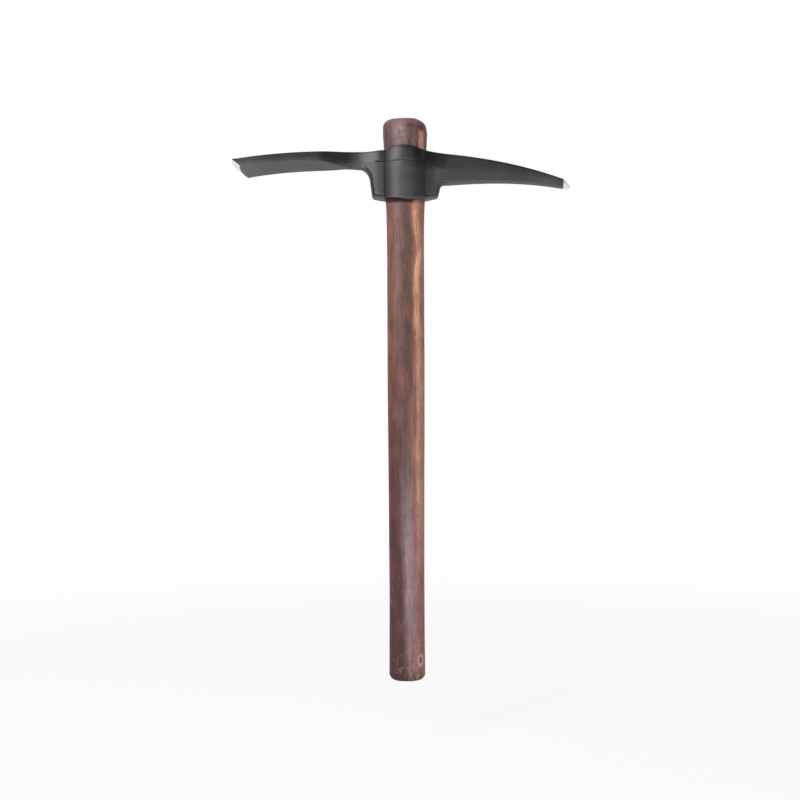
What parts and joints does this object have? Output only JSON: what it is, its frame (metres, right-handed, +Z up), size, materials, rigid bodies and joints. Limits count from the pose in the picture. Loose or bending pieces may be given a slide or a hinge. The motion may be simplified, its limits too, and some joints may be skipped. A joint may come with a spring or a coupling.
{
  "type": "mattock",
  "caption": "Compact hand mattock: forged adze-and-pick head with a tapered oval eye, slipped up an oval wooden handle with a flared top",
  "frame": {"origin": "centre of the flat butt end of the handle, on which the tool stands upright", "axes": "+Z up along the handle to its flared top, +X along the pick, -X along the adze, +Y across the head"},
  "size_m": [0.2926, 0.066, 0.4875],
  "materials": {
    "phosphated_steel": "dark grey phosphate, bright where the cutting edge and the point are ground",
    "stained_wood": "brown stain, satin, long open grain"
  },
  "bodies": {
    "handle": {"handle": "stained_wood"},
    "head": {"mattock_head": "phosphated_steel"}
  },
  "joints": [
    {"name": "head_slide", "type": "slide", "parent": "handle", "child": "head", "axis": [0, 0, -1], "range_m": [0, 0.47]}
  ]
}
